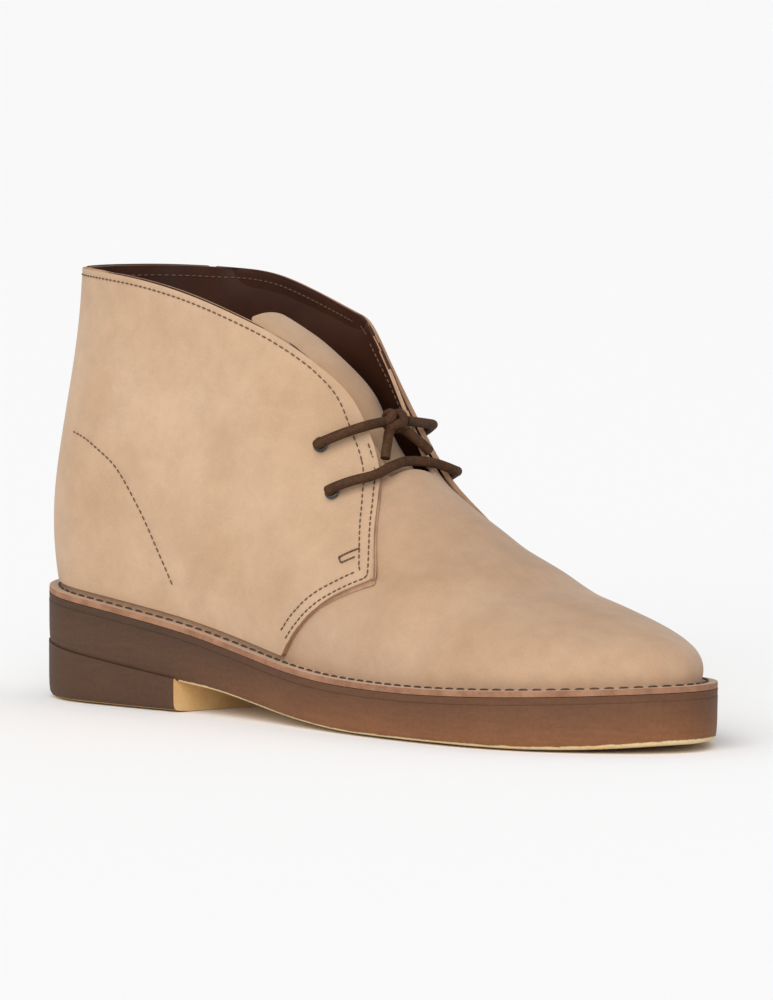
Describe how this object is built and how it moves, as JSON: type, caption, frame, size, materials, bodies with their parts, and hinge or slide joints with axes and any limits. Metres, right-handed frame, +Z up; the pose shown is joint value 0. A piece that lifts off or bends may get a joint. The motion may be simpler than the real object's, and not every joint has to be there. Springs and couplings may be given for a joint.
{
  "type": "chukka boot",
  "caption": "Ankle boot for the left foot with an open collar, two lacing rows and a thick flat rubber sole with a low heel.",
  "frame": {"origin": "middle of the boot's box, on the floor plane", "axes": "+X to the toe, +Y to the outer side of the foot, +Z up"},
  "size_m": [0.3, 0.1048, 0.1521],
  "materials": {
    "crepe": "painted crepe rubber",
    "midsole": "brown edge dressing",
    "insole": "smooth sock leather",
    "nubuck": "sand nubuck",
    "eyelet": "dark burnished",
    "lace": "waxed round lace"
  },
  "bodies": {
    "root": {"outsole": "crepe", "heel": "crepe", "midsole": "midsole", "insole": "insole", "upper": "nubuck", "quarters": "nubuck", "tongue": "nubuck", "eyelet_medial_lower": "eyelet", "eyelet_medial_upper": "eyelet", "eyelet_lateral_lower": "eyelet", "eyelet_lateral_upper": "eyelet", "lace_bar_lower": "lace", "lace_bar_upper_medial": "lace", "lace_bar_upper_lateral": "lace", "lace_knot": "lace", "lace_end_medial": "lace", "lace_end_lateral": "lace"}
  },
  "joints": []
}
